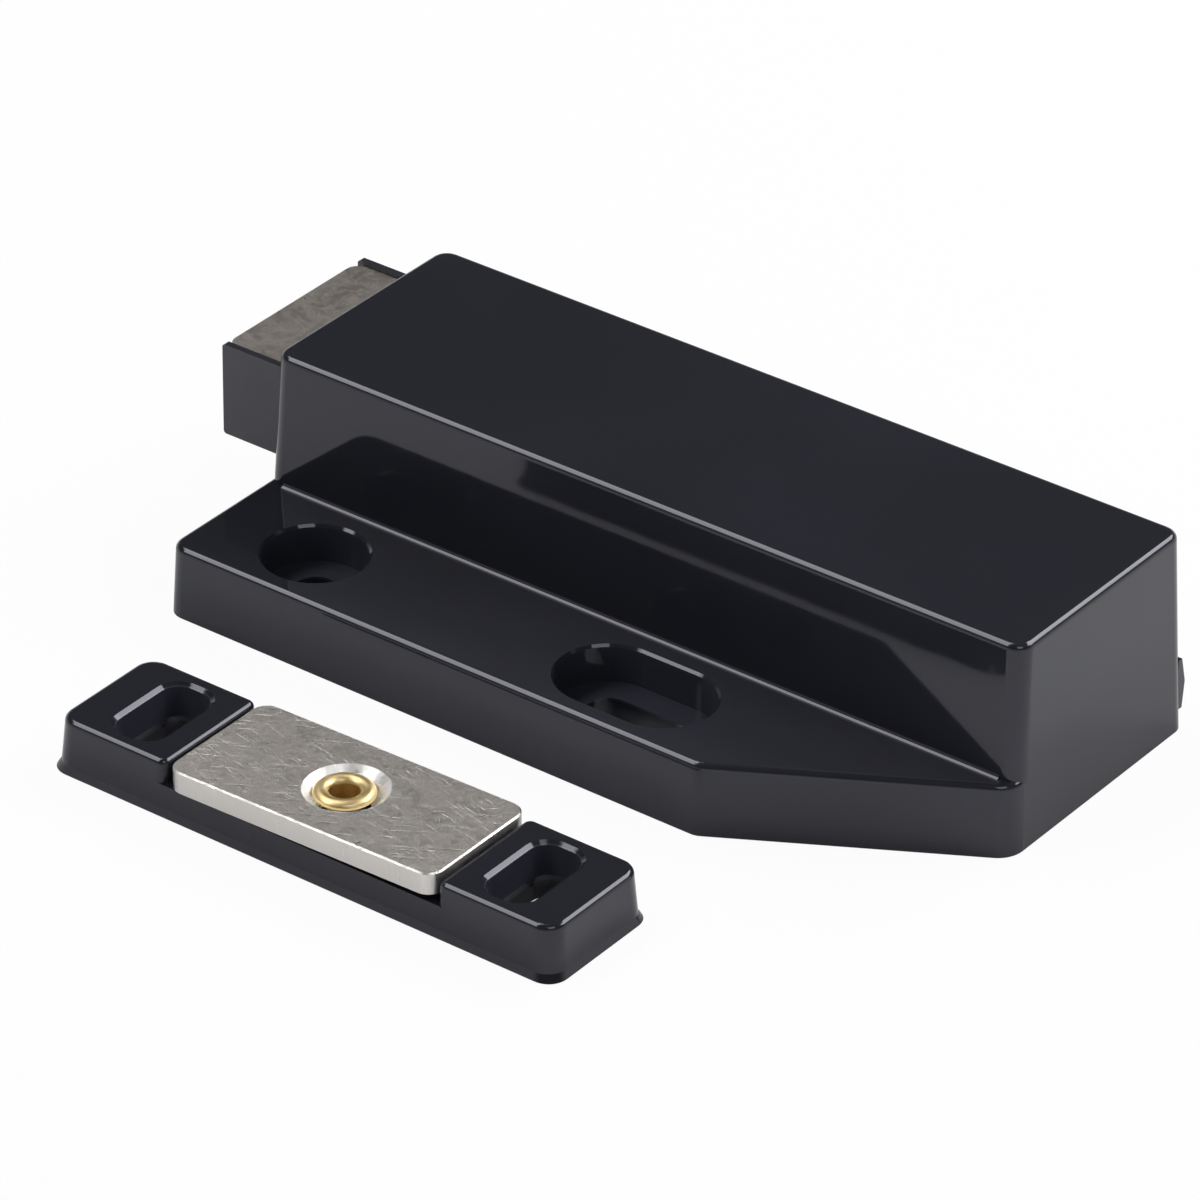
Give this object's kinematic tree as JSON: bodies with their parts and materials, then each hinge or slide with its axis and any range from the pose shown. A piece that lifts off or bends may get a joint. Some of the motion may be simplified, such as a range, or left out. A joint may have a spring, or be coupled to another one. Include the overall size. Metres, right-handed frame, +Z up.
{
  "type": "magnetic catch",
  "caption": "Magnetic push-to-open catch: moulded housing with a slotted side flange, sprung magnet plunger, and a separate strike with a rocking steel plate.",
  "frame": {"origin": "middle of the housing's mounting face, on the base cover's underside", "axes": "+X along the housing, away from the plunger's magnet; +Y from the mounting flange to the back; +Z up from the mounting face"},
  "size_m": [0.0978, 0.0729, 0.022],
  "materials": {
    "housing_plastic": "glossy black moulding",
    "plunger_plastic": "glossy black moulding",
    "strike_plastic": "glossy black moulding",
    "pole_steel": "bright cold-rolled steel",
    "strike_steel": "bright zinc-plated steel",
    "spring_steel": "bright drawn wire",
    "ferrite": "dull dark grey, pressed and sintered",
    "eyelet_brass": "rolled brass"
  },
  "bodies": {
    "root": {"housing": "housing_plastic", "base_cover": "housing_plastic", "ejector_spring": "spring_steel", "latch_wire": "spring_steel", "strike_base": "strike_plastic", "strike_eyelet": "eyelet_brass"},
    "plunger": {"plunger_carrier": "plunger_plastic", "lower_pole_plate": "pole_steel", "upper_pole_plate": "pole_steel", "magnet": "ferrite"},
    "rocking_plate": {"strike_plate": "strike_steel"}
  },
  "joints": [
    {"name": "plunger_slide", "type": "slide", "parent": "root", "child": "plunger", "axis": [-1, 0, 0], "range_m": [-0.003, 0.012], "stiffness_N_per_m": 790, "springref_m": 0.016, "deforming": ["ejector_spring", "latch_wire"]},
    {"name": "plate_rock", "type": "hinge", "parent": "root", "child": "rocking_plate", "pos_m": [-0.0058, -0.04287, 0.00359], "axis": [0, 1, 0], "range_deg": [0, 2.4]}
  ]
}
